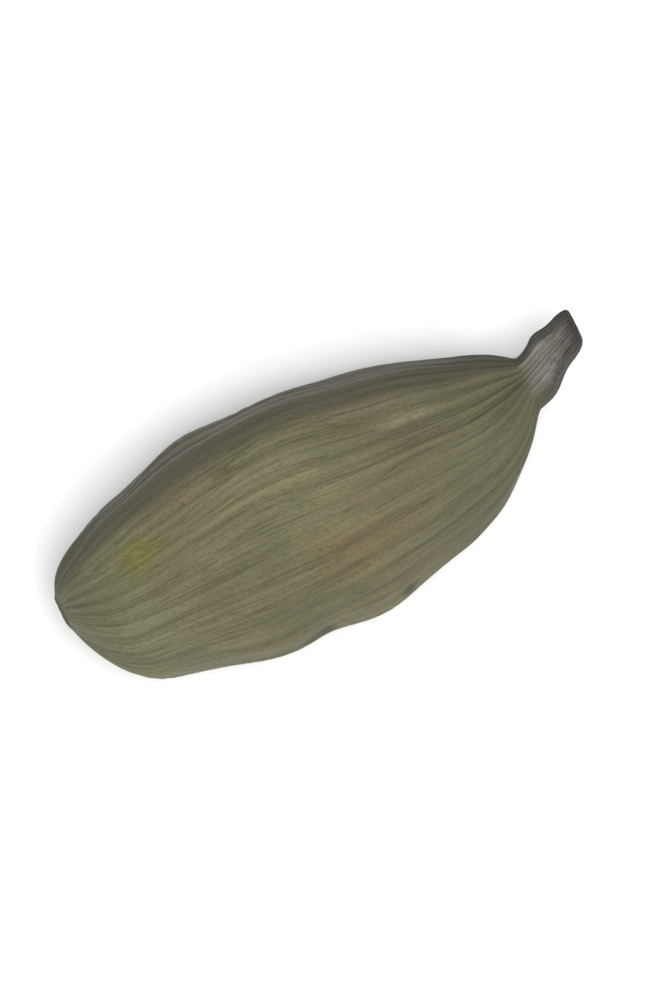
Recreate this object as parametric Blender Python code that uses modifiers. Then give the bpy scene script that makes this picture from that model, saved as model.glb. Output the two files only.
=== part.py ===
"""A dried green cardamom pod, lying on one of its three faces.

The pod grew as one piece: a three-sided ribbed capsule that narrows through a
neck into the stub of its stalk. Its length runs along +X, from the blunt
blossom end to the stalk, and it lies on the plane z = 0.
"""

import math

import bpy
from mathutils import Vector, noise

NODE = "cardamom_pod"
MM = 0.001

# Driving sizes, in millimetres
POD_LENGTH = 16.8
POD_WIDTH = 7.84
POD_THICKNESS = 7.0
STALK_LENGTH = 2.15
STALK_DIAMETER = 1.80
STALK_END_DIAMETER = 1.42
STALK_RIM = 0.50
STALK_HOLLOW = 0.25
COLLAR_STATION = 17.5
COLLAR_LENGTH = 0.38
COLLAR_HEIGHT = 0.08
RIB_HEIGHT = 0.105
KEEL_HEIGHT = 0.13
SEED_SWELL = 0.15
SEED_SPACING = 2.9
NECK_START = 0.8 * POD_LENGTH
CORNERS_FULL_FROM = 3.2
FLAT_SPOT_DEPTH = 0.16

# Counts that set the fineness of the mesh
RIBS = 26
FACETS_PER_RIB = 4
POD_RINGS = 45
STALK_RINGS = 5
RIM_RINGS = 3
RING_SWEEP = 0.9 * math.pi

# The outline rises from the blunt end and tapers to the stalk as a power of the way from each
BLOSSOM_POWER = 0.464
TAPER_POWER = 0.535
NECK_BLEND = 3.7

# The angles of the pod's three corners round its axis: 0 faces +Y, 90 faces up
CORNER_ANGLES = (math.radians(51.0), math.radians(207.0), math.radians(327.0))
CORNER_SHARES = (0.44, 0.35, 0.37)
CORNER_TIGHTNESS = 4.4
KEEL_TIGHTNESS = 150.0

# Waves that space the ribs unevenly and let them wander: reach in radians, waves round the pod,
# radians for each millimetre along it, and start
RIB_WAVES = (
    (0.080, 2, 0.0, 0.8),
    (0.036, 5, 0.0, 2.1),
    (0.030, 0, 0.42, 1.3),
    (0.014, 3, 0.95, 0.0),
)

# The ribs' profile: a power near 1 gives round backs and narrow furrows, about a middle level
RIB_POWER = 1.2
RIB_MIDDLE = 0.59
STALK_FLUTING = 0.45

# How strong the ribs are, which changes from patch to patch along the pod and round it
RIB_STRENGTH = 0.8
RIB_STRENGTH_CHANGE = 0.9
RIB_STRENGTH_LEAST = 0.4
RIB_PATCH_LENGTH = 5.5
RIB_PATCHES_ROUND = 2.6
SEEDS_ROUND = 1.35

# The relief rises from nothing at the blossom end's middle to its full height at this radius
FULL_RELIEF_RADIUS = 2.4

# The blossom end leans to +Y, and the stalk's end bends to +Y and a little up
BLOSSOM_LEAN = 0.65
BLOSSOM_LEAN_REACH = 2.4
BEND_START = 13.75
BEND_LENGTH = 2.9
BEND_RADIUS = 6.7
BEND_RISE = math.radians(14.0)

# Dents and bumps as station, angle, height, reach along the pod and reach round it in radians
DENTS = (
    (1.6, math.radians(195.0), 0.12, 0.9, 0.60),
    (3.8, math.radians(192.0), -0.16, 1.2, 0.60),
    (7.5, math.radians(190.0), -0.20, 0.9, 0.60),
    (9.7, math.radians(188.0), 0.24, 1.2, 0.70),
    (12.9, math.radians(190.0), 0.08, 0.7, 0.60),
    (15.2, math.radians(190.0), -0.14, 0.8, 0.60),
    (3.4, math.radians(5.0), -0.18, 0.9, 0.60),
    (5.8, math.radians(352.0), 0.15, 1.3, 0.60),
    (11.6, math.radians(5.0), -0.12, 1.6, 0.60),
    (13.4, math.radians(74.0), -0.20, 1.7, 0.17),
    (5.6, math.radians(80.0), -0.10, 1.3, 0.22),
    (17.0, math.radians(5.0), -0.55, 0.38, 0.90),
    (17.3, math.radians(185.0), 0.40, 0.7, 0.90),
)


def smooth_step(low, high, value):
    """0 up to low, 1 from high on, and a smooth rise between them."""
    share = min(max((value - low) / (high - low), 0.0), 1.0)
    return share * share * (3.0 - 2.0 * share)


def pod_radius(station):
    """The radius of the round blank along the pod, with no stalk: it is 0 at both ends."""
    share = min(max(station / POD_LENGTH, 0.0), 1.0)
    widest = BLOSSOM_POWER / (BLOSSOM_POWER + TAPER_POWER)
    peak = widest**BLOSSOM_POWER * (1.0 - widest) ** TAPER_POWER
    return POD_WIDTH / 2 * share**BLOSSOM_POWER * (1.0 - share) ** TAPER_POWER / peak


def blank_radius(station):
    """The radius of the round blank, where the pod runs on into its stalk and the stalk's collar."""
    taper = smooth_step(POD_LENGTH, POD_LENGTH + STALK_LENGTH - STALK_RIM, station)
    stalk = (STALK_DIAMETER + taper * (STALK_END_DIAMETER - STALK_DIAMETER)) / 2
    stalk *= smooth_step(POD_LENGTH / 2, POD_LENGTH, station)
    from_collar = (station - COLLAR_STATION) / COLLAR_LENGTH
    collar = COLLAR_HEIGHT * math.exp(-from_collar * from_collar)
    return (pod_radius(station) ** NECK_BLEND + stalk**NECK_BLEND) ** (1.0 / NECK_BLEND) + collar


def outline():
    """The blank's outline as (radius, station) pairs, from the stalk's cut end to the blossom end."""
    tip = POD_LENGTH + STALK_LENGTH
    edge = STALK_END_DIAMETER / 2 - STALK_RIM / 2
    rim = tip - STALK_RIM
    end = [(0.0, tip - STALK_HOLLOW), (edge / 2, tip - STALK_HOLLOW / 2)]
    # The stalk's worn rim is a quarter of an ellipse, from the cut face to the side
    for ring in range(RIM_RINGS, 0, -1):
        turn = math.pi / 2 * ring / RIM_RINGS
        end.append((edge + STALK_RIM / 2 * math.cos(turn), rim + STALK_RIM * math.sin(turn)))
    stations = [rim - (rim - POD_LENGTH) * step / STALK_RINGS for step in range(STALK_RINGS)]
    # The rings crowd towards the blossom end, and a little towards the neck
    for ring in range(POD_RINGS, -1, -1):
        turn = RING_SWEEP * ring / POD_RINGS
        stations.append(POD_LENGTH * (1.0 - math.cos(turn)) / (1.0 - math.cos(RING_SWEEP)))
    return end + [(blank_radius(station), station) for station in stations]


def turned_blank():
    """The round blank's mesh, turned about Z, with one column of faces for each facet of a rib."""
    points = [(radius * MM, 0.0, station * MM) for radius, station in outline()]
    edges = [(end - 1, end) for end in range(1, len(points))]
    profile = bpy.data.meshes.new("profile")
    profile.from_pydata(points, edges, [])
    blank = bpy.data.objects.new("blank", profile)
    bpy.context.scene.collection.objects.link(blank)
    screw = blank.modifiers.new("turn", "SCREW")
    screw.axis = "Z"
    screw.steps = RIBS * FACETS_PER_RIB
    screw.render_steps = screw.steps
    screw.use_merge_vertices = True
    screw.merge_threshold = 0.001 * MM
    evaluated = blank.evaluated_get(bpy.context.evaluated_depsgraph_get())
    mesh = bpy.data.meshes.new_from_object(evaluated)
    mesh.name = NODE
    bpy.data.objects.remove(blank)
    bpy.data.meshes.remove(profile)
    return mesh


def corner_swell(angle):
    """How far the three corners push the section out at this angle, as a share of the radius."""
    swell = 0.0
    for corner, share in zip(CORNER_ANGLES, CORNER_SHARES):
        swell += share * math.exp(CORNER_TIGHTNESS * (math.cos(angle - corner) - 1.0))
    return swell


def section_span(towards):
    """How far the cornered section reaches in a direction and its opposite together, for a radius of 1."""
    angles = [math.radians(step) for step in range(360)]
    reaches = [(1.0 + corner_swell(angle)) * math.cos(angle - towards) for angle in angles]
    return max(reaches) - min(reaches)


WIDTH_SCALE = 2.0 / section_span(0.0)
THICKNESS_SCALE = POD_THICKNESS / POD_WIDTH * 2.0 / section_span(math.pi / 2)


def rib_angle(phase, station):
    """The true angle of a rib, which is spaced unevenly and wanders a little along the pod."""
    angle = phase
    for reach, waves_round, waves_along, start in RIB_WAVES:
        angle += reach * math.sin(waves_round * phase + waves_along * station + start)
    return angle


def patch_noise(station, angle, length, patches_round):
    """Smooth noise on the husk, in patches of a length along it and so many round it."""
    across = patches_round * math.cos(angle)
    up = patches_round * math.sin(angle)
    return noise.noise(Vector((station / length, across, up)))


def rib_relief(phase, station, angle):
    """The ribs' height: round backs with narrow furrows between them, some low and some high."""
    back = abs(math.sin(RIBS * phase / 2)) ** RIB_POWER
    change = RIB_STRENGTH_CHANGE * patch_noise(station, angle, RIB_PATCH_LENGTH, RIB_PATCHES_ROUND)
    return RIB_HEIGHT * (back - RIB_MIDDLE) * max(RIB_STRENGTH + change, RIB_STRENGTH_LEAST)


def keel_relief(angle):
    """A narrow raised line along each corner, which is the back of one of the three chambers."""
    nearness = max(math.cos(angle - corner) for corner in CORNER_ANGLES)
    return KEEL_HEIGHT * math.exp(KEEL_TIGHTNESS * (nearness - 1.0))


def seed_relief(station, angle):
    """Low swellings where the seeds push the husk out from within."""
    return SEED_SWELL * patch_noise(station + POD_LENGTH, angle, SEED_SPACING, SEEDS_ROUND)


def dent_relief(station, angle):
    """The places where the husk was pressed in or bulged as it dried."""
    relief = 0.0
    for dent_station, dent_angle, height, length, width in DENTS:
        along = (station - dent_station) / length
        around = math.remainder(angle - dent_angle, math.tau) / width
        relief += height * math.exp(-along * along - around * around)
    return relief


def axis_point(station):
    """A point of the pod's bent axis. The sections stay square to the length, so the cut is slanted."""
    blossom = max(BLOSSOM_LEAN_REACH - station, 0.0) / BLOSSOM_LEAN_REACH
    run = max(station - BEND_START, 0.0)
    turn = min(run, BEND_LENGTH)
    bend = turn / BEND_RADIUS * (run - turn / 2)
    lean = BLOSSOM_LEAN * blossom * blossom
    return Vector((station, lean + bend * math.cos(BEND_RISE), bend * math.sin(BEND_RISE)))


def shaped_point(point):
    """Where a point of the upright round blank goes on the finished pod, in millimetres."""
    station = point.z
    radius = math.hypot(point.x, point.y)
    phase = math.atan2(point.y, point.x)
    angle = rib_angle(phase, station)

    neck = smooth_step(NECK_START, POD_LENGTH, station)
    husk = smooth_step(0.0, CORNERS_FULL_FROM, station) * (1.0 - neck)
    wide = 1.0 + husk * (WIDTH_SCALE - 1.0)
    thick = 1.0 + husk * (THICKNESS_SCALE - 1.0)

    skin = smooth_step(0.0, FULL_RELIEF_RADIUS, radius)
    fluting = STALK_FLUTING * neck * smooth_step(0.0, STALK_DIAMETER / 2, radius)
    relief = (skin + fluting) * rib_relief(phase, station, angle)
    relief += skin * (keel_relief(angle) + seed_relief(station, angle) + dent_relief(station, angle))
    reach = radius * (1.0 + husk * corner_swell(angle)) + relief

    across = Vector((0.0, reach * wide * math.cos(angle), reach * thick * math.sin(angle)))
    return axis_point(station) + across


def rest_on_surface(mesh):
    """Centres the pod over the origin and flattens the spot that it lies on."""
    points = [vertex.co.copy() for vertex in mesh.vertices]
    low = Vector(min(point[axis] for point in points) for axis in range(3))
    high = Vector(max(point[axis] for point in points) for axis in range(3))
    middle = (low + high) / 2
    for vertex in mesh.vertices:
        vertex.co.x -= middle.x
        vertex.co.y -= middle.y
        vertex.co.z = max(vertex.co.z - low.z - FLAT_SPOT_DEPTH * MM, 0.0)


def husk_material():
    material = bpy.data.materials.new("dried_husk")
    material.use_nodes = True
    shader = material.node_tree.nodes["Principled BSDF"]
    shader.inputs["Base Color"].default_value = (0.19, 0.18, 0.085, 1.0)
    shader.inputs["Roughness"].default_value = 0.62
    shader.inputs["Metallic"].default_value = 0.0
    return material


def cardamom_pod():
    mesh = turned_blank()
    for vertex in mesh.vertices:
        vertex.co = shaped_point(vertex.co / MM) * MM
    rest_on_surface(mesh)
    mesh.shade_smooth()
    mesh.materials.append(husk_material())
    return bpy.data.objects.new(NODE, mesh)


def main():
    for old in list(bpy.data.objects):
        bpy.data.objects.remove(old)
    collection = bpy.data.collections.new("green_cardamom_pod")
    bpy.context.scene.collection.children.link(collection)
    collection.objects.link(cardamom_pod())


main()
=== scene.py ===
"""The looks of a dried green cardamom pod: its fine husk, its stalk's fibres, the light and the camera."""

import math

import bpy
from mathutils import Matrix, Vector, noise


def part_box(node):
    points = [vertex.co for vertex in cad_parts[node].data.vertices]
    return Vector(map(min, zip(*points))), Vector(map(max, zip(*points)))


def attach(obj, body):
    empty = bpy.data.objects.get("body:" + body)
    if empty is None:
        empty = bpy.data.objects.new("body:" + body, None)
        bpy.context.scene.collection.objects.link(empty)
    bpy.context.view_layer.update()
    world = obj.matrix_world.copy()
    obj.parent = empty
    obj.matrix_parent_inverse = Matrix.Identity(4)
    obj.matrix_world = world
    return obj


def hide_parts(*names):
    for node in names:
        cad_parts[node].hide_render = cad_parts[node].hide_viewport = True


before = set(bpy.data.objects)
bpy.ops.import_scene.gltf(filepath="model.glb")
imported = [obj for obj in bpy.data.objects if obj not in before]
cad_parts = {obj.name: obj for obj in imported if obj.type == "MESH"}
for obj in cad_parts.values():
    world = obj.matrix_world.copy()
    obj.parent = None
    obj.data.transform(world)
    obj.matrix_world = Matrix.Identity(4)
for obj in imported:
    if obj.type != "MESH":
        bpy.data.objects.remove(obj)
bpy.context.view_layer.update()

MM = 0.001
NODE = "cardamom_pod"

# The pod's form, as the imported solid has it, in millimetres
POD_LENGTH = 16.8
POD_WIDTH = 7.84
POD_THICKNESS = 7.0
STALK_LENGTH = 2.15
STALK_DIAMETER = 1.80
STALK_END_DIAMETER = 1.42
STALK_RIM = 0.50
STALK_HOLLOW = 0.25
COLLAR_STATION = 17.5
COLLAR_LENGTH = 0.38
COLLAR_HEIGHT = 0.08
RIB_HEIGHT = 0.105
KEEL_HEIGHT = 0.13
SEED_SWELL = 0.15
SEED_SPACING = 2.9
NECK_START = 0.8 * POD_LENGTH
CORNERS_FULL_FROM = 3.2
RIBS = 26
RING_SWEEP = 0.9 * math.pi

# The outline rises from the blunt end and tapers to the stalk as a power of the way from each
BLOSSOM_POWER = 0.464
TAPER_POWER = 0.535
NECK_BLEND = 3.7

# The angles of the pod's three corners round its axis: 0 faces +Y, 90 faces up
CORNER_ANGLES = (math.radians(51.0), math.radians(207.0), math.radians(327.0))
CORNER_SHARES = (0.44, 0.35, 0.37)
CORNER_TIGHTNESS = 4.4
KEEL_TIGHTNESS = 150.0

# Waves that space the ribs unevenly and let them wander: reach in radians, waves round the pod,
# radians for each millimetre along it, and start
RIB_WAVES = (
    (0.080, 2, 0.0, 0.8),
    (0.036, 5, 0.0, 2.1),
    (0.030, 0, 0.42, 1.3),
    (0.014, 3, 0.95, 0.0),
)

# The ribs' profile: a power near 1 gives round backs and narrow furrows, about a middle level
RIB_POWER = 1.2
RIB_MIDDLE = 0.59
STALK_FLUTING = 0.45

# How strong the ribs are, which changes from patch to patch along the pod and round it, as the
# seeds' swellings do
RIB_STRENGTH = 0.8
RIB_STRENGTH_CHANGE = 0.9
RIB_STRENGTH_LEAST = 0.4
RIB_PATCH_LENGTH = 5.5
RIB_PATCHES_ROUND = 2.6
SEEDS_ROUND = 1.35

# The relief rises from nothing at the blossom end's middle to its full height at this radius
FULL_RELIEF_RADIUS = 2.4

# The blossom end leans to +Y, and the stalk's end bends to +Y and a little up
BLOSSOM_LEAN = 0.65
BLOSSOM_LEAN_REACH = 2.4
BEND_START = 13.75
BEND_LENGTH = 2.9
BEND_RADIUS = 6.7
BEND_RISE = math.radians(14.0)

# Dents and bumps as station, angle, height, reach along the pod and reach round it in radians
DENTS = (
    (1.6, math.radians(195.0), 0.12, 0.9, 0.60),
    (3.8, math.radians(192.0), -0.16, 1.2, 0.60),
    (7.5, math.radians(190.0), -0.20, 0.9, 0.60),
    (9.7, math.radians(188.0), 0.24, 1.2, 0.70),
    (12.9, math.radians(190.0), 0.08, 0.7, 0.60),
    (15.2, math.radians(190.0), -0.14, 0.8, 0.60),
    (3.4, math.radians(5.0), -0.18, 0.9, 0.60),
    (5.8, math.radians(352.0), 0.15, 1.3, 0.60),
    (11.6, math.radians(5.0), -0.12, 1.6, 0.60),
    (13.4, math.radians(74.0), -0.20, 1.7, 0.17),
    (5.6, math.radians(80.0), -0.10, 1.3, 0.22),
    (17.0, math.radians(5.0), -0.55, 0.38, 0.90),
    (17.3, math.radians(185.0), 0.40, 0.7, 0.90),
)

# The fine skin's mesh: its columns, its rings, and where along them the stalk, its rim and its cut start
COLUMNS_PER_RIB = 16
COLUMNS = RIBS * COLUMNS_PER_RIB
RINGS = 230
POD_RING_SHARE = 0.86
STALK_RING_SHARE = 0.93
RIM_RING_SHARE = 0.945

# The patterns lie round the pod at this radius, and draw together on what is slimmer than the second
SKIN_RADIUS = 3.7
PATTERN_NARROWS_BELOW = 1.0

# The fine relief that the solid leaves out: heights, widths and lengths in millimetres. Each fade
# gives the values of a slow noise between which that relief goes from none to all of its height.
RIB_VEIN_HEIGHT = 0.028
RIB_VEIN_REACH = 0.45
RIB_VEIN_STRETCH = 3.5
RIB_VEINS_ROUND = 3.0
RIB_VEIN_FADE = (-0.25, 0.35)
THREADS = 3 * RIBS
THREAD_HEIGHT = 0.020
THREAD_DRIFT = 5.0
THREAD_DRIFT_WIDTH = 1.6
THREAD_DRIFT_LENGTH = 9.0
THREAD_PATCH_WIDTH = 0.9
THREAD_PATCH_LENGTH = 4.0
THREAD_FADE = (-0.35, 0.30)
UNEVEN_HEIGHT = 0.070
UNEVEN_WIDTH = 1.3
UNEVEN_LENGTH = 2.2
WRINKLE_HEIGHT = 0.026
WRINKLE_WIDTH = 0.60
WRINKLE_LENGTH = 0.32
WRINKLE_MIDDLE = 0.6
WRINKLE_FADE = (-0.25, 0.45)

# The creases' patches are wider than the creases: how fast they change round and along, and from where
WRINKLE_PATCH_ROUND = 0.4
WRINKLE_PATCH_ALONG = 0.15
WRINKLE_PATCH_START = 3.0

# The withered scar of the flower at the blossom end, and the stalk's rough cut
SCAR_RADIUS = 0.48
SCAR_RIM_WIDTH = 0.15
SCAR_RIM_HEIGHT = 0.05
SCAR_HOLLOW = 0.08
SCAR_RAGGEDNESS = 0.9
SCAR_PATCHES_ROUND = 2.0
SCAR_PATCH_START = 5.0
SCAR_STAIN_RADIUS = 0.95
CUT_ROUGHNESS = 0.07
CUT_FIBRE = 0.16

# The steep face that the pod turns from the light, which painted shade darkens, and the stalk's upper side,
# which painted light makes paler, each as the angle of its middle
SHADE_PAINTED_FACE = math.radians(9.0)
LIT_STALK_SIDE_PAINTED = math.radians(85.0)

# The husk's noises: size of their patches round the pod and along it in millimetres, detail, and an
# offset that sets each apart. Real husk cells are finer still than these: they are as small as the
# picture can show.
GRAINS = {
    "mottling": (2.0, 3.4, 4.0, 0.0),
    "browning": (3.2, 5.0, 3.0, 31.0),
    "ragged": (0.8, 1.6, 3.0, 71.0),
    "streaks": (0.45, 9.0, 3.0, 11.0),
    "fibres": (0.08, 4.0, 2.0, 23.0),
    "splits": (0.35, 8.0, 2.0, 83.0),
    "specks": (0.14, 0.18, 1.0, 47.0),
    "scuffs": (0.60, 1.4, 2.0, 97.0),
    "cells": (0.06, 0.14, 2.0, 59.0),
}
GRAIN_ROUGHNESS = 0.55
CRACK_HALF_WIDTH = 0.04

# Soft patches of colour: station, angle round the pod, length, width, colour and strength
PATCHES = (
    (3.15, math.radians(68.0), 1.3, 1.1, "70722C", 0.75),
    (9.6, math.radians(128.0), 3.0, 2.0, "705D43", 0.60),
    (11.4, math.radians(105.0), 3.2, 2.4, "6D634B", 0.45),
    (12.9, math.radians(64.0), 1.5, 0.34, "8B8568", 0.55),
    # Painted shade: a dark line laid along a furrow near the stalk
    (13.9, math.radians(50.0), 1.6, 0.34, "434233", 0.40),
    (7.0, math.radians(184.0), 1.25, 0.50, "352F23", 0.75),
    (10.4, math.radians(181.0), 0.60, 0.45, "352F23", 0.75),
)
PATCH_RAGGEDNESS = 1.2

# Colours from darker to paler, and the values of their noise between which one turns into the other
HUSK_COLOURS = (0.35, 0.65, "656448", "757053")
BARK_COLOURS = (0.35, 0.62, "3E3B35", "5A574F")
PITH_COLOURS = (0.40, 0.60, "564F42", "756D5B")
SCAR_COLOURS = (0.40, 0.60, "3F3527", "5F523C")

# Layers of colour, each over the ones before it: what it follows, the values of that from which it
# begins and at which it is full, its strength there and its colour
HUSK_TONES = (
    ("browning", 0.42, 0.68, 0.50, "6F634B"),
    ("station", 5.5, 1.5, 0.55, "74775B"),
    ("station", 9.5, 14.0, 0.65, "5B5B45"),
)
HUSK_MARKS = (
    ("streaks", 0.40, 0.66, 0.10, "7A7556"),
    ("fibres", 0.58, 0.30, 0.34, "4D4936"),
    ("cells", 0.58, 0.36, 0.30, "3F3C2E"),
    # The next two follow the relief: darker in the furrows and paler on the crests, partly the husk's own
    # colour and partly painted shade and light
    ("height", -0.005, -0.070, 0.16, "45432F"),
    ("height", 0.045, 0.120, 0.07, "827C5B"),
    ("vein", 0.35, 1.0, 0.16, "868060"),
    ("cracks", 0.2, 1.0, 0.30, "3E3A2B"),
    ("specks", 0.70, 0.78, 0.50, "463D2F"),
    ("scuffs", 0.64, 0.76, 0.45, "4B4231"),
    # Painted shade: the steep face is darkened in colour, as if turned from the light
    ("painted_shade_on_steep_face", 0.68, 0.80, 0.60, "3F3B33"),
)
BARK_MARKS = (
    # Painted light: the stalk's upper side is made paler, as if lit from above
    ("painted_light_on_stalk_top", 0.52, 0.80, 0.70, "8D8A83"),
    ("cracks", 0.2, 1.0, 0.45, "332F2A"),
    ("station", 18.2, 18.9, 0.70, "3A3632"),
)

# Where the husk turns into bark along the pod, and where the scar's stain fades in
BARK_FROM = 16.2
BARK_FULL = 17.4
STAIN_FROM = 0.05
STAIN_FULL = 0.45

# The husk's gloss: rough where a streak is low and a little smoother where it is high
HUSK_ROUGHEST = 0.62
HUSK_SMOOTHEST = 0.48
SMOOTH_STREAKS = (0.3, 0.7)
HUSK_SPECULAR = 0.18

# Bumps too fine for the mesh: what each follows, its strength and its depth in millimetres
HUSK_BUMPS = (
    ("fibres", 0.7, 0.030),
    ("cracks", 0.6, -0.020),
    ("cells", 0.6, 0.018),
)

# The floor's side in metres, and its finish
FLOOR_SIZE = 4.0
FLOOR_COLOUR = "FCFCFC"
FLOOR_ROUGHNESS = 0.9
FLOOR_SPECULAR = 0.1

# The photograph's frame, in pixels, how the pod lies in it, and the camera's view in millimetres
PHOTO_WIDTH = 667
PHOTO_HEIGHT = 1000
POD_TURN = math.radians(26.3)
VIEW_WIDTH = 21.8
LENS = 250.0
SENSOR = 36.0

# How near and how far the camera sees, as multiples of its height over the floor
NEAREST = 0.1
FARTHEST = 100

# The room's light at the horizon and overhead. Each lamp has its name, its place right, up and above
# the floor as seen in the photograph, its side, these all in metres, and its power in watts.
HORIZON_LIGHT = 0.15
CEILING_LIGHT = 0.75
LAMPS = (
    ("overhead_softbox", 0.045, -0.032, 0.42, 0.26, 1.42),
    ("window", 0.240, -0.220, 0.30, 0.20, 0.25),
)


def smooth_step(low, high, value):
    """0 up to low, 1 from high on, and a smooth rise between them."""
    share = min(max((value - low) / (high - low), 0.0), 1.0)
    return share * share * (3.0 - 2.0 * share)


def bell(value, middle, reach):
    """1 at the middle, falling to nothing a few reaches away from it."""
    away = (value - middle) / reach
    return math.exp(-away * away)


# The form


def pod_radius(station):
    """The radius of the round blank along the pod, with no stalk: it is 0 at both ends."""
    share = min(max(station / POD_LENGTH, 0.0), 1.0)
    widest = BLOSSOM_POWER / (BLOSSOM_POWER + TAPER_POWER)
    peak = widest**BLOSSOM_POWER * (1.0 - widest) ** TAPER_POWER
    return POD_WIDTH / 2 * share**BLOSSOM_POWER * (1.0 - share) ** TAPER_POWER / peak


def blank_radius(station):
    """The radius of the round blank, where the pod runs on into its stalk and the stalk's collar."""
    taper = smooth_step(POD_LENGTH, POD_LENGTH + STALK_LENGTH - STALK_RIM, station)
    stalk = (STALK_DIAMETER + taper * (STALK_END_DIAMETER - STALK_DIAMETER)) / 2
    stalk *= smooth_step(POD_LENGTH / 2, POD_LENGTH, station)
    collar = COLLAR_HEIGHT * bell(station, COLLAR_STATION, COLLAR_LENGTH)
    return (pod_radius(station) ** NECK_BLEND + stalk**NECK_BLEND) ** (1.0 / NECK_BLEND) + collar


def outline_point(share):
    """The blank's (station, radius), from 0 at the blossom end to 1 at the middle of the cut face."""
    tip = POD_LENGTH + STALK_LENGTH
    rim = tip - STALK_RIM
    edge = STALK_END_DIAMETER / 2 - STALK_RIM / 2
    if share < POD_RING_SHARE:
        turn = RING_SWEEP * share / POD_RING_SHARE
        station = POD_LENGTH * (1.0 - math.cos(turn)) / (1.0 - math.cos(RING_SWEEP))
        return station, blank_radius(station)
    if share < STALK_RING_SHARE:
        step = (share - POD_RING_SHARE) / (STALK_RING_SHARE - POD_RING_SHARE)
        station = POD_LENGTH + step * (rim - POD_LENGTH)
        return station, blank_radius(station)
    if share < RIM_RING_SHARE:
        turn = (share - STALK_RING_SHARE) / (RIM_RING_SHARE - STALK_RING_SHARE) * math.pi / 2
        return rim + STALK_RIM * math.sin(turn), edge + STALK_RIM / 2 * math.cos(turn)
    inward = (1.0 - share) / (1.0 - RIM_RING_SHARE)
    return tip - STALK_HOLLOW * (1.0 - inward * inward), edge * inward


def corner_swell(angle):
    """How far the three corners push the section out at this angle, as a share of the radius."""
    swell = 0.0
    for corner, share in zip(CORNER_ANGLES, CORNER_SHARES):
        swell += share * math.exp(CORNER_TIGHTNESS * (math.cos(angle - corner) - 1.0))
    return swell


def section_span(towards):
    """How far the cornered section reaches in a direction and its opposite together, for a radius of 1."""
    angles = [math.radians(step) for step in range(360)]
    reaches = [(1.0 + corner_swell(angle)) * math.cos(angle - towards) for angle in angles]
    return max(reaches) - min(reaches)


WIDTH_SCALE = 2.0 / section_span(0.0)
THICKNESS_SCALE = POD_THICKNESS / POD_WIDTH * 2.0 / section_span(math.pi / 2)


def rib_angle(phase, station):
    """The true angle of a rib, which is spaced unevenly and wanders a little along the pod."""
    angle = phase
    for reach, waves_round, waves_along, start in RIB_WAVES:
        angle += reach * math.sin(waves_round * phase + waves_along * station + start)
    return angle


def patch_noise(station, angle, length, patches_round):
    """Smooth noise on the husk, in patches of a length along it and so many round it."""
    across = patches_round * math.cos(angle)
    up = patches_round * math.sin(angle)
    return noise.noise(Vector((station / length, across, up)))


def rib_relief(phase, station, angle):
    """The ribs' height: round backs with narrow furrows between them, some low and some high."""
    back = abs(math.sin(RIBS * phase / 2)) ** RIB_POWER
    change = RIB_STRENGTH_CHANGE * patch_noise(station, angle, RIB_PATCH_LENGTH, RIB_PATCHES_ROUND)
    return RIB_HEIGHT * (back - RIB_MIDDLE) * max(RIB_STRENGTH + change, RIB_STRENGTH_LEAST)


def keel_relief(angle):
    """A narrow raised line along each corner, which is the back of one of the three chambers."""
    nearness = max(math.cos(angle - corner) for corner in CORNER_ANGLES)
    return KEEL_HEIGHT * math.exp(KEEL_TIGHTNESS * (nearness - 1.0))


def seed_relief(station, angle):
    """Low swellings where the seeds push the husk out from within."""
    return SEED_SWELL * patch_noise(station + POD_LENGTH, angle, SEED_SPACING, SEEDS_ROUND)


def dent_relief(station, angle):
    """The places where the husk was pressed in or bulged as it dried."""
    relief = 0.0
    for dent_station, dent_angle, height, length, width in DENTS:
        along = (station - dent_station) / length
        around = math.remainder(angle - dent_angle, math.tau) / width
        relief += height * math.exp(-along * along - around * around)
    return relief


def axis_point(station):
    """A point of the pod's bent axis. The sections stay square to the length, so the cut is slanted."""
    blossom = max(BLOSSOM_LEAN_REACH - station, 0.0) / BLOSSOM_LEAN_REACH
    run = max(station - BEND_START, 0.0)
    turn = min(run, BEND_LENGTH)
    bend = turn / BEND_RADIUS * (run - turn / 2)
    lean = BLOSSOM_LEAN * blossom * blossom
    return Vector((station, lean + bend * math.cos(BEND_RISE), bend * math.sin(BEND_RISE)))


# The fine relief


def skin_place(phase, station, width, length):
    """Where a point of the skin lies in a pattern whose patches have this width and length."""
    across = SKIN_RADIUS / width
    return Vector((across * math.cos(phase), across * math.sin(phase), station / length))


def rib_vein(phase, station):
    """From 0 to 1 on the thin vein along each rib's back, which is stronger in some stretches."""
    stretch = patch_noise(station, phase, RIB_VEIN_STRETCH, RIB_VEINS_ROUND)
    return bell(math.cos(RIBS * phase / 2), 0.0, RIB_VEIN_REACH) * smooth_step(*RIB_VEIN_FADE, stretch)


def thread(phase, station):
    """From 0 to 1 on the fine threads that run side by side along the husk, which come and go."""
    drift = THREAD_DRIFT * noise.noise(skin_place(phase, station, THREAD_DRIFT_WIDTH, THREAD_DRIFT_LENGTH))
    wave = (1.0 + math.cos(THREADS * phase + drift)) / 2
    patch = noise.noise(skin_place(phase, station, THREAD_PATCH_WIDTH, THREAD_PATCH_LENGTH))
    return wave * wave * smooth_step(*THREAD_FADE, patch)


def wrinkle_relief(phase, station):
    """Shallow creases across the ribs, in patches, where the husk shrank as it dried."""
    place = skin_place(phase, station, WRINKLE_WIDTH, WRINKLE_LENGTH)
    patch_place = Vector((
        WRINKLE_PATCH_ROUND * place.x,
        WRINKLE_PATCH_ROUND * place.y,
        WRINKLE_PATCH_ALONG * place.z + WRINKLE_PATCH_START,
    ))
    crease = 1.0 - 2.0 * abs(noise.noise(place))
    return WRINKLE_HEIGHT * (crease - WRINKLE_MIDDLE) * smooth_step(*WRINKLE_FADE, noise.noise(patch_place))


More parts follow.
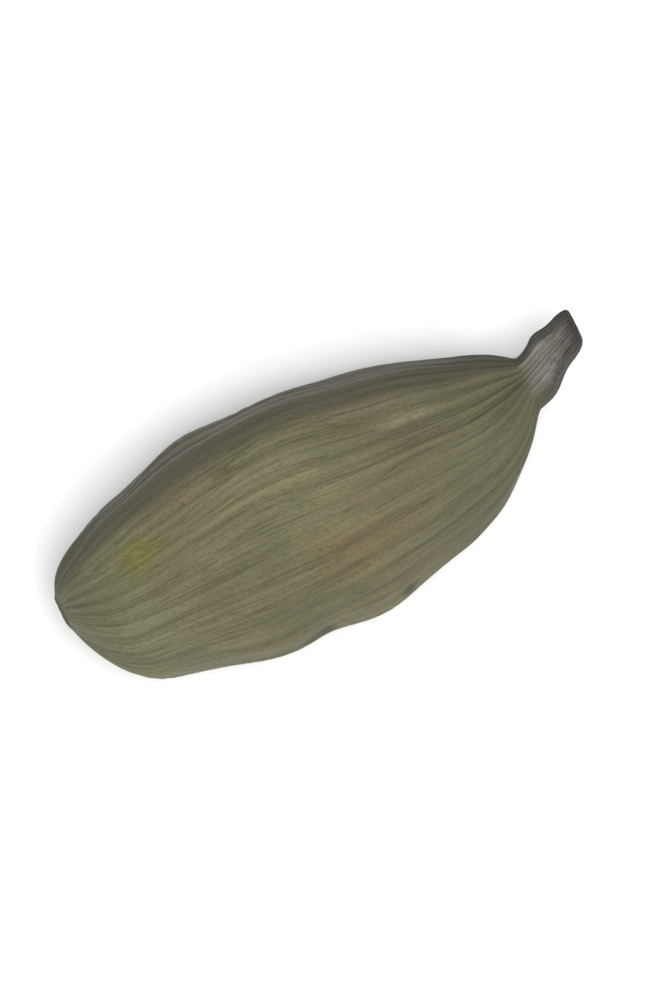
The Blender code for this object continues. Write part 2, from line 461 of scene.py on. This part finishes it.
def uneven_relief(phase, station):
    """Low dimples and bumps, about as wide as a seed, which keep the husk from looking moulded."""
    return UNEVEN_HEIGHT * noise.noise(skin_place(phase, station, UNEVEN_WIDTH, UNEVEN_LENGTH))


def scar_relief(phase, radius):
    """How far the flower's scar stands out of the blossom end: a ragged ring round a hollow."""
    across = SCAR_PATCHES_ROUND * math.cos(phase)
    up = SCAR_PATCHES_ROUND * math.sin(phase)
    ragged = 1.0 + SCAR_RAGGEDNESS * noise.noise(Vector((across, up, SCAR_PATCH_START)))
    rim = SCAR_RIM_HEIGHT * ragged * bell(radius, SCAR_RADIUS, SCAR_RIM_WIDTH)
    return rim - SCAR_HOLLOW * smooth_step(SCAR_RADIUS, 0.0, radius)


def skin_point(station, radius, phase, on_cut_face):
    """A point of the finished skin in millimetres, how high its relief stands, and how much it is vein."""
    angle = rib_angle(phase, station)
    neck = smooth_step(NECK_START, POD_LENGTH, station)
    husk = smooth_step(0.0, CORNERS_FULL_FROM, station) * (1.0 - neck)
    wide = 1.0 + husk * (WIDTH_SCALE - 1.0)
    thick = 1.0 + husk * (THICKNESS_SCALE - 1.0)

    skin = smooth_step(0.0, FULL_RELIEF_RADIUS, radius)
    fluting = STALK_FLUTING * neck * smooth_step(0.0, STALK_DIAMETER / 2, radius)
    ribs = rib_relief(phase, station, angle)
    keel = keel_relief(angle)
    on_rib = rib_vein(phase, station)
    on_thread = thread(phase, station)
    fine = RIB_VEIN_HEIGHT * on_rib + THREAD_HEIGHT * on_thread
    fine += wrinkle_relief(phase, station) + uneven_relief(phase, station)
    relief = (skin + fluting) * (ribs + fine)
    relief += skin * (keel + seed_relief(station, angle) + dent_relief(station, angle))
    reach = radius * (1.0 + husk * corner_swell(angle)) + relief

    across = Vector((0.0, reach * wide * math.cos(angle), reach * thick * math.sin(angle)))
    point = axis_point(station) + across
    if station < POD_LENGTH / 2:
        point.x -= scar_relief(phase, radius)
    if on_cut_face:
        point.x += CUT_ROUGHNESS * noise.noise(point / CUT_FIBRE)
    return point, ribs + keel + fine, max(on_rib, on_thread)


# Meshes


def select_only(piece):
    bpy.ops.object.select_all(action="DESELECT")
    piece.select_set(True)
    bpy.context.view_layer.objects.active = piece


def add_attribute(mesh, name, kind, values):
    attribute = mesh.attributes.new(name, kind, "POINT")
    attribute.data.foreach_set("vector" if kind == "FLOAT_VECTOR" else "value", values)


def husk_and_stalk():
    """The pod's whole skin, with attributes that its material reads: place, relief, veins, scar and cut."""
    bpy.ops.object.select_all(action="DESELECT")
    bpy.ops.mesh.primitive_uv_sphere_add(segments=COLUMNS, ring_count=RINGS, radius=1.0)
    pod = bpy.context.active_object
    pod.name = "husk_and_stalk"
    mesh = pod.data
    mesh.name = pod.name

    places = []
    heights = []
    veins = []
    scars = []
    cuts = []
    for vertex in mesh.vertices:
        share = math.acos(min(max(-vertex.co.z, -1.0), 1.0)) / math.pi
        phase = math.atan2(vertex.co.y, vertex.co.x)
        station, radius = outline_point(share)
        on_cut_face = share > RIM_RING_SHARE
        point, height, vein = skin_point(station, radius, phase, on_cut_face)
        vertex.co = point * MM
        around = min(radius / PATTERN_NARROWS_BELOW, 1.0) * SKIN_RADIUS
        places.extend((around * math.cos(phase), around * math.sin(phase), station))
        heights.append(height)
        veins.append(vein)
        scars.append(max(1.0 - radius / SCAR_STAIN_RADIUS, 0.0) if station < POD_LENGTH / 2 else 0.0)
        cuts.append(float(on_cut_face))
    add_attribute(mesh, "place", "FLOAT_VECTOR", places)
    for name, values in (("height", heights), ("vein", veins), ("scar", scars), ("cut", cuts)):
        add_attribute(mesh, name, "FLOAT", values)
    return pod


def fit_to_frame(piece, node):
    """Moves the piece's box onto the CAD node's, and flattens the spot that it lies on."""
    low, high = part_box(node)
    points = [vertex.co for vertex in piece.data.vertices]
    own_low = [min(point[axis] for point in points) for axis in range(3)]
    own_high = [max(point[axis] for point in points) for axis in range(3)]
    move = Vector((
        (low.x + high.x - own_low[0] - own_high[0]) / 2,
        (low.y + high.y - own_low[1] - own_high[1]) / 2,
        high.z - own_high[2],
    ))
    for vertex in piece.data.vertices:
        vertex.co += move
        vertex.co.z = max(vertex.co.z, 0.0)


def close_and_smooth(piece):
    """Points the faces outwards and shades them smooth."""
    select_only(piece)
    bpy.ops.object.mode_set(mode="EDIT")
    bpy.ops.mesh.select_all(action="SELECT")
    bpy.ops.mesh.normals_make_consistent(inside=False)
    bpy.ops.object.mode_set(mode="OBJECT")
    bpy.ops.object.shade_smooth()


# Materials


def linear(hex_colour):
    """A linear colour with alpha from an sRGB hex value such as 7A755B, by the sRGB standard's curve."""
    channels = [int(hex_colour[start : start + 2], 16) / 255 for start in (0, 2, 4)]
    bent = [c / 12.92 if c <= 0.04045 else ((c + 0.055) / 1.055) ** 2.4 for c in channels]
    return (*bent, 1.0)


def add_node(tree, kind, settings=None, values=None, links=None):
    """Adds a node, sets its properties and input values, and links its inputs to other nodes' outputs."""
    node = tree.nodes.new(kind)
    for name, value in (settings or {}).items():
        setattr(node, name, value)
    for name, value in (values or {}).items():
        node.inputs[name].default_value = value
    for name, output in (links or {}).items():
        tree.links.new(output, node.inputs[name])
    return node


def new_material(name):
    material = bpy.data.materials.new(name)
    material.use_nodes = True
    return material, material.node_tree, material.node_tree.nodes["Principled BSDF"]


def mixed(tree, share, first, second):
    """The second colour over the first, by a share; a colour is a hex value or a node's output."""
    node = add_node(tree, "ShaderNodeMix", {"data_type": "RGBA"})
    factor, socket_a, socket_b = node.inputs[0], node.inputs[6], node.inputs[7]
    tree.links.new(share, factor)
    for socket, value in ((socket_a, first), (socket_b, second)):
        if isinstance(value, str):
            socket.default_value = linear(value)
        else:
            tree.links.new(value, socket)
    return node.outputs[2]


def eased(tree, value, low, high, bottom=0.0, top=1.0):
    """A value's way from low to high as a smooth step from bottom to top."""
    node = add_node(
        tree,
        "ShaderNodeMapRange",
        {"interpolation_type": "SMOOTHSTEP"},
        {"From Min": low, "From Max": high, "To Min": bottom, "To Max": top},
        {"Value": value},
    )
    return node.outputs["Result"]


def two_toned(tree, value, low, high, first, second):
    """One colour up to low, another from high on, and a smooth change between them."""
    return mixed(tree, eased(tree, value, low, high), first, second)


def layered(tree, followed, colour, layers):
    """A colour with layers laid over it, each as strong as what it follows makes it."""
    for name, begins, full, strength, layer_colour in layers:
        share = eased(tree, followed[name], begins, full, 0.0, strength)
        colour = mixed(tree, share, colour, layer_colour)
    return colour


def grain(tree, place, size, length, detail, offset):
    """Noise in patches of a size round the pod and a length along it, in millimetres."""
    stretched = add_node(
        tree,
        "ShaderNodeMapping",
        values={"Location": (offset, offset, offset), "Scale": (1 / size, 1 / size, 1 / length)},
        links={"Vector": place},
    )
    pattern = add_node(
        tree,
        "ShaderNodeTexNoise",
        values={"Scale": 1.0, "Detail": detail, "Roughness": GRAIN_ROUGHNESS},
        links={"Vector": stretched.outputs["Vector"]},
    )
    return pattern.outputs["Fac"]


def hairlines(tree, pattern, half_width):
    """1 on the thin lines along which a pattern passes its middle value, falling to 0 beside them."""
    middle = 0.5
    away = add_node(tree, "ShaderNodeMath", {"operation": "SUBTRACT"}, {1: middle}, {0: pattern})
    distance = add_node(tree, "ShaderNodeMath", {"operation": "ABSOLUTE"}, links={0: away.outputs[0]})
    return eased(tree, distance.outputs[0], half_width, 0.0)


def soft_patch(tree, place, ragged, station, angle, length, width):
    """1 in the middle of a patch of the husk, falling to 0 at its ragged edge."""
    middle = (SKIN_RADIUS * math.cos(angle), SKIN_RADIUS * math.sin(angle), station)
    away = add_node(tree, "ShaderNodeVectorMath", {"operation": "SUBTRACT"}, {1: middle}, {0: place})
    scaled = add_node(
        tree,
        "ShaderNodeVectorMath",
        {"operation": "MULTIPLY"},
        {1: (1 / width, 1 / width, 1 / length)},
        {0: away.outputs[0]},
    )
    distance = add_node(tree, "ShaderNodeVectorMath", {"operation": "LENGTH"}, links={0: scaled.outputs[0]})
    wavy = add_node(
        tree,
        "ShaderNodeMath",
        {"operation": "MULTIPLY_ADD"},
        {1: PATCH_RAGGEDNESS},
        {0: ragged, 2: distance.outputs["Value"]},
    )
    return eased(tree, wavy.outputs[0], 1.0 + PATCH_RAGGEDNESS / 2, PATCH_RAGGEDNESS / 2)


def facing(tree, place, angle):
    """The cosine of a point's angle round the pod from the given one, on the pod's full girth."""
    towards = (math.cos(angle) / SKIN_RADIUS, math.sin(angle) / SKIN_RADIUS, 0.0)
    node = add_node(tree, "ShaderNodeVectorMath", {"operation": "DOT_PRODUCT"}, {1: towards}, {0: place})
    return node.outputs["Value"]


def bumped(tree, height, strength, depth, normal):
    """A bump of this depth in millimetres, over another bump's normal where there is one."""
    values = {"Strength": strength, "Distance": depth * MM}
    links = {"Height": height}
    if normal:
        links["Normal"] = normal
    return add_node(tree, "ShaderNodeBump", values=values, links=links).outputs["Normal"]


def husk_patterns(tree):
    """All that the husk's colours and bumps follow, by name."""
    place = add_node(tree, "ShaderNodeAttribute", {"attribute_name": "place"}).outputs["Vector"]
    patterns = {"place": place}
    for name in ("height", "vein", "scar", "cut"):
        patterns[name] = add_node(tree, "ShaderNodeAttribute", {"attribute_name": name}).outputs["Fac"]
    patterns["station"] = add_node(tree, "ShaderNodeSeparateXYZ", links={"Vector": place}).outputs["Z"]
    for name, (size, length, detail, offset) in GRAINS.items():
        patterns[name] = grain(tree, place, size, length, detail, offset)
    patterns["cracks"] = hairlines(tree, patterns["splits"], CRACK_HALF_WIDTH)
    # Painted shade: the mask of the steep face that the husk's colour darkens
    patterns["painted_shade_on_steep_face"] = facing(tree, place, SHADE_PAINTED_FACE)
    # Painted light: the mask of the stalk's upper side that its bark's colour makes paler
    patterns["painted_light_on_stalk_top"] = facing(tree, place, LIT_STALK_SIDE_PAINTED)
    return patterns


def husk_colour(tree, patterns):
    """The husk's colour, from its wide patches to its finest marks."""
    colour = two_toned(tree, patterns["mottling"], *HUSK_COLOURS)
    colour = layered(tree, patterns, colour, HUSK_TONES)
    for station, angle, length, width, patch_colour, strength in PATCHES:
        inside = soft_patch(tree, patterns["place"], patterns["ragged"], station, angle, length, width)
        share = eased(tree, inside, 0.0, 1.0, 0.0, strength)
        colour = mixed(tree, share, colour, patch_colour)
    return layered(tree, patterns, colour, HUSK_MARKS)


def dried_husk():
    """Dried capsule husk: papery and fibrous, so it is matt, olive turned khaki, with paler veins."""
    material, tree, shader = new_material("dried_husk")
    patterns = husk_patterns(tree)
    colour = husk_colour(tree, patterns)

    # The stalk's grey bark, with painted light that makes its upper side paler, and darker towards its end
    bark = two_toned(tree, patterns["fibres"], *BARK_COLOURS)
    bark = layered(tree, patterns, bark, BARK_MARKS)
    colour = mixed(tree, eased(tree, patterns["station"], BARK_FROM, BARK_FULL), colour, bark)

    # The stalk's cut face, and the flower's withered scar
    pith = two_toned(tree, patterns["specks"], *PITH_COLOURS)
    colour = mixed(tree, patterns["cut"], colour, pith)
    withered = two_toned(tree, patterns["cells"], *SCAR_COLOURS)
    colour = mixed(tree, eased(tree, patterns["scar"], STAIN_FROM, STAIN_FULL), colour, withered)
    tree.links.new(colour, shader.inputs["Base Color"])

    roughness = eased(tree, patterns["streaks"], *SMOOTH_STREAKS, HUSK_ROUGHEST, HUSK_SMOOTHEST)
    tree.links.new(roughness, shader.inputs["Roughness"])
    shader.inputs["Specular IOR Level"].default_value = HUSK_SPECULAR

    normal = None
    for name, strength, depth in HUSK_BUMPS:
        normal = bumped(tree, patterns[name], strength, depth, normal)
    tree.links.new(normal, shader.inputs["Normal"])
    return material


def white_floor():
    """Matt white board: even and bright, so that only the pod's soft shadow marks it."""
    material, _, shader = new_material("matt_white_board")
    shader.inputs["Base Color"].default_value = linear(FLOOR_COLOUR)
    shader.inputs["Roughness"].default_value = FLOOR_ROUGHNESS
    shader.inputs["Specular IOR Level"].default_value = FLOOR_SPECULAR
    return material


# Stage


def add_floor():
    bpy.ops.object.select_all(action="DESELECT")
    bpy.ops.mesh.primitive_plane_add(size=FLOOR_SIZE, location=(0.0, 0.0, 0.0))
    floor = bpy.context.active_object
    floor.name = "floor"
    floor.data.materials.append(white_floor())


def across_view(right, up):
    """The direction in the ground plane that lies this far right and up in the photograph."""
    turned = -POD_TURN
    return Vector((
        right * math.cos(turned) - up * math.sin(turned),
        right * math.sin(turned) + up * math.cos(turned),
        0.0,
    ))


def add_lamp(name, right, up, height, side, power):
    """A square soft light over the pod, aimed at it."""
    place = across_view(right, up) + Vector((0.0, 0.0, height))
    data = bpy.data.lights.new(name, "AREA")
    data.shape = "SQUARE"
    data.size = side
    data.energy = power
    lamp = bpy.data.objects.new(name, data)
    lamp.location = place
    lamp.rotation_mode = "QUATERNION"
    lamp.rotation_quaternion = (-place).to_track_quat("-Z", "Y")
    bpy.context.scene.collection.objects.link(lamp)


def add_room():
    """A pale room whose light grows from the horizon to the ceiling."""
    world = bpy.data.worlds.new("soft_room")
    bpy.context.scene.world = world
    world.use_nodes = True
    tree = world.node_tree
    background = tree.nodes["Background"]
    background.inputs["Color"].default_value = (1.0, 1.0, 1.0, 1.0)
    direction = add_node(tree, "ShaderNodeTexCoord").outputs["Generated"]
    parts = add_node(tree, "ShaderNodeSeparateXYZ", links={"Vector": direction})
    rise = add_node(
        tree,
        "ShaderNodeMapRange",
        values={"From Min": 0.0, "From Max": 1.0, "To Min": HORIZON_LIGHT, "To Max": CEILING_LIGHT},
        links={"Value": parts.outputs["Z"]},
    )
    tree.links.new(rise.outputs["Result"], background.inputs["Strength"])


def add_camera():
    """Looks straight down, as the photograph does, near enough for the pod to fill the frame's width."""
    data = bpy.data.cameras.new("camera")
    data.lens = LENS
    data.sensor_width = SENSOR
    view_height = VIEW_WIDTH * MM * PHOTO_HEIGHT / PHOTO_WIDTH
    distance = view_height * LENS / SENSOR
    data.clip_start = NEAREST * distance
    data.clip_end = FARTHEST * distance
    camera = bpy.data.objects.new("camera", data)
    camera.location = (0.0, 0.0, distance)
    camera.rotation_euler = (0.0, 0.0, -POD_TURN)
    bpy.context.scene.collection.objects.link(camera)
    bpy.context.scene.camera = camera


pod = husk_and_stalk()
fit_to_frame(pod, NODE)
close_and_smooth(pod)
pod.data.materials.append(dried_husk())
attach(pod, "root")
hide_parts(NODE)

add_floor()
add_room()
for lamp_row in LAMPS:
    add_lamp(*lamp_row)
add_camera()
bpy.context.scene.view_settings.view_transform = "Standard"
